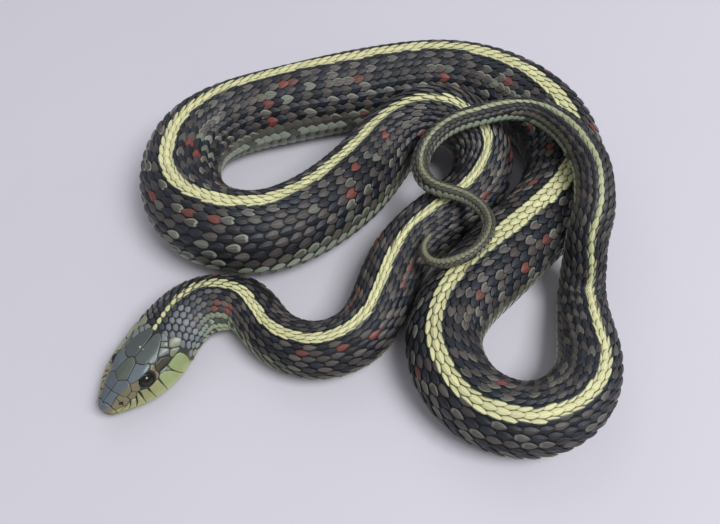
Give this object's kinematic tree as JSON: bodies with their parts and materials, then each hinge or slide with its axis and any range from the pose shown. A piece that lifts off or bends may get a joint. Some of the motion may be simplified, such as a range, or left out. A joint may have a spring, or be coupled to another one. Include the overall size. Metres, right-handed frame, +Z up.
{
  "type": "garter snake model",
  "caption": "Life-size still model of a garter snake lying in loose loops on a flat floor, head low and tail laid over its back.",
  "frame": {"origin": "middle of the footprint, on the floor the snake lies on", "axes": "+Z up, +Y away from the viewer of the picture, +X to the viewer's right"},
  "size_m": [0.1138, 0.1126, 0.0263],
  "materials": {
    "head_plates": "satin, smooth plates",
    "back_scales": "satin, keeled scales",
    "tail_scales": "satin, keeled scales",
    "eye": "wet gloss"
  },
  "bodies": {
    "root": {"head": "head_plates", "eye_left": "eye", "eye_right": "eye", "neck": "back_scales", "nape_curve": "back_scales", "forebody_curve": "back_scales", "forebody": "back_scales", "forebody_rise": "back_scales", "arch": "back_scales", "arch_descent": "back_scales", "left_loop_front": "back_scales", "left_loop_near_bend": "back_scales", "left_loop_far_bend": "back_scales", "far_side_left": "back_scales", "far_side_right": "back_scales", "right_bend_far": "back_scales", "right_bend_near": "back_scales", "middle_left": "back_scales", "middle_right": "back_scales", "near_loop_left": "back_scales", "near_loop_front": "back_scales", "near_loop_right": "back_scales", "tail_root": "tail_scales", "tail_rise": "tail_scales", "tail_bend": "tail_scales", "tail_top": "tail_scales", "tail_hang": "tail_scales", "tail_return": "tail_scales", "tail_curl": "tail_scales", "tail_tip": "tail_scales"}
  },
  "joints": []
}
